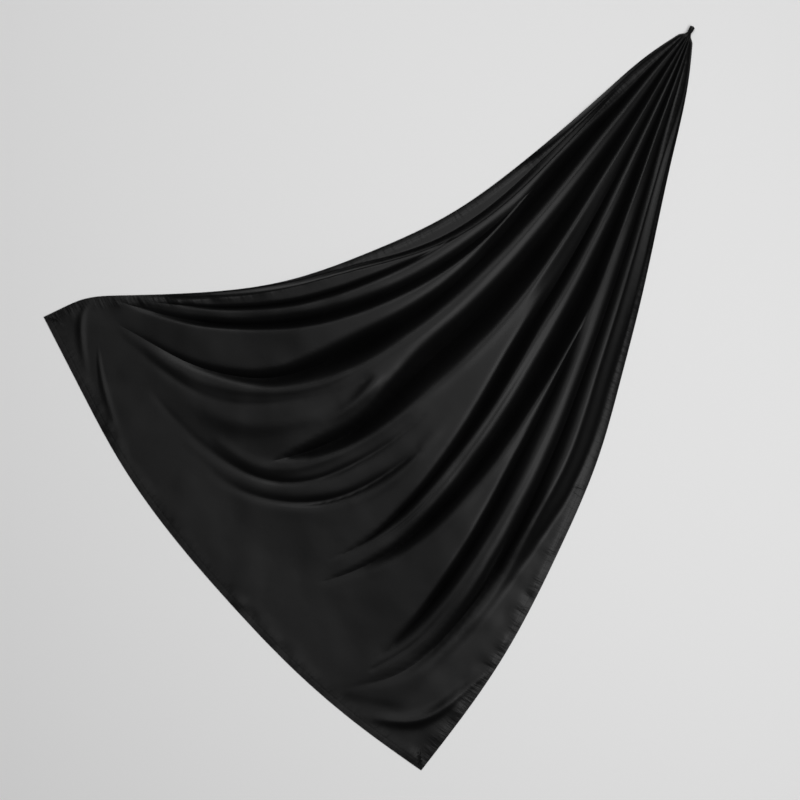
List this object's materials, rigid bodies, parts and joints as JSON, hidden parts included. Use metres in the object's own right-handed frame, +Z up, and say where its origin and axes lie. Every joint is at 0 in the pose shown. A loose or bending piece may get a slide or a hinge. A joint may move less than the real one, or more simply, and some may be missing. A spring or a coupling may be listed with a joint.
{
  "type": "costume cape",
  "caption": "Long black satin costume cape laid out flat, its neck edge gathered into a bound point, soft folds fanning out to a wide stitched hem.",
  "frame": {"origin": "middle of the cape's bounding box in plan, on the surface that it lies on", "axes": "+Z up out of that surface, +Y and +X in it; the gathered neck is towards +X +Y and the hem faces -X -Y"},
  "size_m": [1.1482, 1.313, 0.0307],
  "materials": {
    "satin": "black polyester satin, soft sheen",
    "hem_satin": "folded black satin hem",
    "satin_pleats": "tightly packed satin pleats",
    "satin_binding": "black satin bias binding",
    "sewing_thread": "black polyester sewing thread",
    "binding_thread": "waxed black whipping thread"
  },
  "bodies": {
    "neck": {"neck_core": "satin_pleats", "gathering_thread": "sewing_thread", "neck_whipping": "binding_thread", "neck_binding": "satin_binding", "neck_cap": "satin_binding"},
    "cape": {"cape_panel": "satin", "upper_side_hem": "hem_satin", "lower_side_hem": "hem_satin", "bottom_hem": "hem_satin", "upper_side_stitching": "sewing_thread", "lower_side_stitching": "sewing_thread", "bottom_hem_stitching": "sewing_thread", "corner_tacks": "sewing_thread"}
  },
  "joints": [
    {"name": "cape_swing", "type": "hinge", "parent": "neck", "child": "cape", "pos_m": [0.56713, 0.64826, 0.0046], "axis": [0, 0, 1], "range_deg": [-20, 20]}
  ]
}
